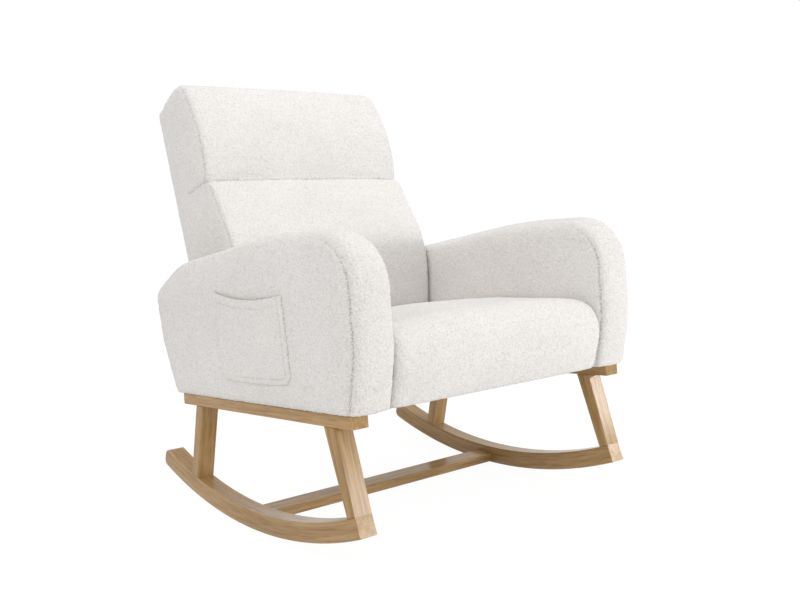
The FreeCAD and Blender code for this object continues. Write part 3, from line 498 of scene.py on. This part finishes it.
def sewn(piece, seams, depth, width):
    """Draws the cloth in along its seams and marks them with painted shade for the material."""
    mesh = piece.data
    co = points(mesh)
    mark = np.zeros(len(co))
    pull = np.zeros(len(co))
    for places, share in seams:
        gap = distances(co, places, 0.02)
        # mark is the painted shade along the seam, narrower than the groove drawn in below.
        mark = np.maximum(mark, share * np.exp(-(gap / 0.0022) ** 2))
        pull = np.maximum(pull, share * np.exp(-(gap / width) ** 2))
    set_points(mesh, co - normals(mesh) * (depth * pull)[:, None])
    attribute = mesh.attributes.new("seam_shade", "FLOAT", "POINT")
    attribute.data.foreach_set("value", mark.astype(np.float32))


def roughened(piece, size):
    """Uneven pile: each point stands a little in or out."""
    mesh = piece.data
    noise = RNG.normal(0.0, size, len(mesh.vertices))
    co = points(mesh)
    set_points(mesh, co + normals(mesh) * np.clip(noise, -2 * size, 2 * size)[:, None])


def finished(piece, replaced):
    mesh = piece.data
    mesh.materials.clear()
    mesh.materials.append(boucle)
    for polygon in mesh.polygons:
        polygon.use_smooth = True
    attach(piece, "root")
    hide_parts(*replaced)


VOXEL = 0.0065
forms = {
    "seat": ["seat_cushion"],
    "back": ["head_pad", "lumbar_pad", "back_shell_cover"],
    "left_arm": ["left_arm_padding"],
    "right_arm": ["right_arm_padding"]}
BACK_CORE = [up_back(side * 0.2870, t, n)
             for side in (-1, 1) for t in (0.06, 0.25) for n in (0.03, 0.150)]
pieces = {}
for name, names in forms.items():
    mesh = outer_form(names, {"back_shell_cover": 1.008}, BACK_CORE if name == "back" else None)
    pieces[name] = remeshed(new_object(name + "_upholstery", mesh), VOXEL)
trees = {name: bvh_of(piece.data) for name, piece in pieces.items()}

SIDES = {"left_arm": 1, "right_arm": -1}
ARM_OUTER_SEAM, ARM_INNER_SEAM = 0.3862, 0.2945
# Heights above the rails (from, to) and the share there of the arm seams' groove and painted shade,
# fading towards the top.
ARM_SEAM_FADE = ((0.0, 0.265, 1.0), (0.265, 0.29, 0.7), (0.29, 0.315, 0.4), (0.315, 0.34, 0.15))
BACK_SEAM = 0.2850
CREASE = 0.152  # height of the crease between the pads, up the back
SHOULDER_START, SHOULDER_WIDTH = 0.300, 0.085  # from the chair's middle, where the arms' lift grows
ARM_FULLNESS = 0.006
SWELL = {"seat": 0.004, "back": 0.005, "left_arm": 0.005, "right_arm": 0.005}


def arm_seams(mesh, side):
    """Seams down the front of an arm, at its outer and its inner edge."""
    def ahead(co):
        s, n = rail_place(co)
        return (s < -0.37) & (n > 0.004)
    return [slice_places(mesh, side * x, ahead) for x in (ARM_OUTER_SEAM, ARM_INNER_SEAM)]


def back_seams(mesh):
    """Seams along the front edges of the back."""
    def edge(co):
        t, n = back_place(co)
        return (n > 0.112) & (t > -0.25)
    return [slice_places(mesh, side * BACK_SEAM, edge) for side in (-1, 1)]


seam_sets = {}
for name, piece in pieces.items():
    mesh = piece.data
    co = points(mesh)
    others = [trees[other] for other in trees if other != name]
    if name in SIDES:
        seam_sets[name] = arm_seams(mesh, SIDES[name])
        hidden = rail_place(co)[1] < 0.008
    elif name == "back":
        seam_sets[name] = back_seams(mesh)
        t, n = back_place(co)
        hidden = (n < 0.03) & (np.abs(t) > 0.3)
    else:
        seam_sets[name] = []
        hidden = rail_place(co)[1] < 0.012
    room = room_to(mesh, others, 0.012)
    room = even_out(room, mesh, 3)
    pinned = hidden.copy()
    for places in seam_sets[name]:
        pinned |= distances(co, places, 0.02) < 0.004
    if name == "back":
        pinned |= np.abs(back_place(co)[0] - CREASE) < 0.006
    swell(piece, pinned, room, SWELL[name], 4.0)

for name, piece in pieces.items():
    subdivided(piece)
    mesh = piece.data
    co = points(mesh)
    seams = []
    if name in SIDES:
        outer = np.clip((np.abs(co[:, 0]) - SHOULDER_START) / SHOULDER_WIDTH, 0.0, 1.0)
        upward = np.clip((normals(mesh)[:, 2] - 0.05) / 0.7, 0.0, 1.0)
        co[:, 2] += ARM_FULLNESS * outer ** 2 * (3 - 2 * outer) * upward
        set_points(mesh, co)
        for places in arm_seams(mesh, SIDES[name]):
            n = rail_place(places)[1]
            for low, high, share in ARM_SEAM_FADE:
                seams.append((places[(n >= low) & (n < high)], share))
    elif name == "back":
        # The back's seams and the crease between its pads are drawn in and get painted shade, the
        # crease more of it.
        seams = [(places, 0.45) for places in back_seams(mesh)]
        t, n = back_place(co)
        crease = co[(np.abs(t - CREASE) < 0.0016) & (n > 0.074)]
        seams.append((crease, 0.8))
    sewn(piece, seams, 0.0022, 0.0042)
    roughened(piece, 0.0005)

finished(pieces["seat"], ["seat_cushion"])
finished(pieces["back"], ["head_pad", "lumbar_pad", "back_shell_cover"])
finished(pieces["left_arm"], ["left_arm_padding"])
finished(pieces["right_arm"], ["right_arm_padding"])


# Side pockets: a patch of the same cloth, sewn down on three sides, with a hemmed, sagging mouth
POCKET_FRONT, POCKET_REAR = -0.255, 0.002
POCKET_FOOT, POCKET_TOP = 0.051, 0.227
POCKET_SAG = 0.013
POCKET_FOOT_SAG = 0.005
POCKET_FLARE = 0.012
POCKET_SLANT = 0.010
POCKET_CORNER = 0.026
POCKET_CLOTH = 0.0026


def pocket(side, arm):
    columns, rows = 127, 89
    tree = bvh_of(arm.data)
    grid = bmesh.new()
    places = []
    borders, mouths, ahead = [], [], []
    for j in range(rows):
        v = j / (rows - 1)
        for i in range(columns):
            u = i / (columns - 1)
            front = POCKET_FRONT - POCKET_FLARE * (1 - v)
            s = front + u * (POCKET_REAR - front)
            top = POCKET_TOP + POCKET_SLANT * (u - 0.5) - POCKET_SAG * (1 - (2 * u - 1) ** 2)
            foot = POCKET_FOOT - POCKET_FOOT_SAG * (1 - (2 * u - 1) ** 2)
            n = foot + v * (top - foot)
            beside = min(s - front, POCKET_REAR - s)
            lift = 0.0
            if beside < POCKET_CORNER:
                across = POCKET_CORNER ** 2 - (POCKET_CORNER - beside) ** 2
                lift = POCKET_CORNER - math.sqrt(max(0.0, across))
                n += lift * (1 - v)
            start = on_rail(side * 0.5, s, n)
            hit = tree.ray_cast(start, Vector((-side, 0, 0)))[0]
            x = abs(hit.x) if hit else 0.395
            border = min(beside, n - foot - lift)
            round_over = 1 - min(1.0, border / 0.007)
            slack = math.sin(math.pi * u) * v ** 2.2
            rise = 0.0044 * math.sqrt(max(0.0, 1 - round_over ** 2)) - 0.0022 + 0.0035 * slack
            borders.append(border)
            mouths.append(top - n)
            ahead.append(1 - 0.7 * u)
            places.append(grid.verts.new((side * (x + rise), start.y, start.z)))
    for j in range(rows - 1):
        for i in range(columns - 1):
            a = j * columns + i
            corners = [places[a], places[a + 1], places[a + columns + 1], places[a + columns]]
            grid.faces.new(corners if side < 0 else corners[::-1])
    bmesh.ops.recalc_face_normals(grid, faces=grid.faces)
    mesh = bpy.data.meshes.new("pocket")
    grid.to_mesh(mesh)
    grid.free()
    piece = new_object(("left" if side > 0 else "right") + "_pocket", mesh)
    co = points(mesh)
    border, mouth = np.array(borders), np.array(mouths)
    # Stitch lines and the hem's fold are pressed in and get painted shade; the pocket's rim gets a
    # painted shadow line. The stitches and rim fade from the front towards the rear.
    stitch = np.array(ahead) * np.exp(-((border - 0.0115) / 0.0016) ** 2)
    hem = 0.6 * np.exp(-((mouth - 0.018) / 0.0018) ** 2)
    mark = np.maximum(stitch, hem)
    co[:, 0] -= side * 0.0014 * mark
    set_points(mesh, co)
    # edge: painted shadow along the pocket's rim.
    edge = 0.75 * np.array(ahead) * np.exp(-(border / 0.0016) ** 2)
    attribute = mesh.attributes.new("seam_shade", "FLOAT", "POINT")
    attribute.data.foreach_set("value", np.maximum(0.6 * mark, edge).astype(np.float32))
    thick = piece.modifiers.new("thick", "SOLIDIFY")
    thick.thickness = POCKET_CLOTH
    thick.offset = 1.0
    baked(piece)
    mesh = piece.data
    mesh.materials.append(boucle)
    for polygon in mesh.polygons:
        polygon.use_smooth = True
    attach(piece, "root")
    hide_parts(("left" if side > 0 else "right") + "_arm_pocket")
    return piece


pocket(1, pieces["left_arm"])
pocket(-1, pieces["right_arm"])


# Dust cover: a thin cloth stapled up under the seat, which sags a little
def dust_cover():
    low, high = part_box("dust_cover")
    columns, rows = 41, 41
    inset = 0.022
    places, faces = [], []
    for j in range(rows):
        v = j / (rows - 1)
        for i in range(columns):
            u = i / (columns - 1)
            x = (2 * u - 1) * (high.x - inset)
            y = low.y + inset + v * (high.y - low.y - 2 * inset)
            s = (y - CONTACT) / math.cos(TILT)
            sag = 0.006 * math.sin(math.pi * u) * math.sin(math.pi * v)
            places.append(on_rail(x, s, -0.0006 - sag)[:])
    for j in range(rows - 1):
        for i in range(columns - 1):
            a = j * columns + i
            faces.append((a, a + columns, a + columns + 1, a + 1))
    mesh = bpy.data.meshes.new("dust_cover")
    mesh.from_pydata(places, [], faces)
    piece = new_object("dust_cover_cloth", mesh)
    thick = piece.modifiers.new("thick", "SOLIDIFY")
    thick.thickness = 0.0012
    thick.offset = 1.0
    baked(piece)
    piece.data.materials.append(dust_cloth)
    for polygon in piece.data.polygons:
        polygon.use_smooth = True
    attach(piece, "root")
    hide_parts("dust_cover")


dust_cover()


# Floor, light and camera
def seen_rays(tree):
    """1 on the rays that show the background itself: camera, glossy and transmission rays."""
    path = add(tree, "ShaderNodeLightPath")
    through = math_node(tree, "MAXIMUM", path.outputs["Is Glossy Ray"],
                        path.outputs["Is Transmission Ray"])
    return math_node(tree, "MAXIMUM", path.outputs["Is Camera Ray"], through)


floor_mesh = bpy.data.meshes.new("floor")
floor_mesh.from_pydata([(-9, -9, 0), (9, -9, 0), (9, 9, 0), (-9, 9, 0)], [], [(0, 1, 2, 3)])
floor = new_object("floor", floor_mesh)
floor_material, tree, shader = new_material("floor")
shader.inputs["Roughness"].default_value = 0.9
shader.inputs["Specular IOR Level"].default_value = 0.1
tint = add(tree, "ShaderNodeTexNoise", Scale=3.0, Detail=2.0)
pale = ramp(tree, tint.outputs["Fac"], [(0.3, (0.93, 0.93, 0.93)), (0.7, (0.95, 0.95, 0.95))])
tree.links.new(pale, shader.inputs["Base Color"])
glow = add(tree, "ShaderNodeEmission", Color=(1.0, 1.0, 1.0, 1.0), Strength=1.04)
seen = seen_rays(tree)
blend = add(tree, "ShaderNodeMixShader")
tree.links.new(math_node(tree, "MULTIPLY", seen, 0.92), blend.inputs[0])
tree.links.new(shader.outputs[0], blend.inputs[1])
tree.links.new(glow.outputs[0], blend.inputs[2])
tree.links.new(blend.outputs[0], tree.nodes["Material Output"].inputs["Surface"])
floor_mesh.materials.append(floor_material)

world = bpy.data.worlds.new("studio")
scene.world = world
world.use_nodes = True
tree = world.node_tree
background = tree.nodes["Background"]
background.inputs["Color"].default_value = (1.0, 1.0, 1.0, 1.0)
seen = seen_rays(tree)
level = add(tree, "ShaderNodeMix", data_type="FLOAT")
tree.links.new(seen, level.inputs[0])
level.inputs[2].default_value = 0.69
level.inputs[3].default_value = 1.0
tree.links.new(level.outputs[0], background.inputs["Strength"])


def area_light(name, place, target, width, height, power):
    light = bpy.data.lights.new(name, "AREA")
    light.shape = "RECTANGLE"
    light.size = width
    light.size_y = height
    light.energy = power
    lamp = bpy.data.objects.new(name, light)
    lamp.location = place
    lamp.rotation_euler = (Vector(target) - Vector(place)).to_track_quat("-Z", "Y").to_euler()
    scene.collection.objects.link(lamp)


area_light("key", (2.3, -2.9, 1.05), (0, 0, 0.5), 2.2, 0.4, 42.0)
area_light("fill", (-2.6, -1.4, 2.6), (0, 0, 0.4), 2.2, 2.2, 21.0)
area_light("top", (0.2, 0.2, 3.4), (0, 0, 0.4), 2.4, 2.4, 29.0)

lens = bpy.data.cameras.new("camera")
lens.lens = 43.42
lens.sensor_width = 36.0
camera = bpy.data.objects.new("camera", lens)
camera.location = (-1.38287, -1.76377 + CONTACT, 0.75491)
camera.rotation_euler = (math.radians(82.18), 0.0, math.radians(-39.72))
scene.collection.objects.link(camera)
scene.camera = camera
scene.view_settings.view_transform = "Standard"

bpy.context.view_layer.update()
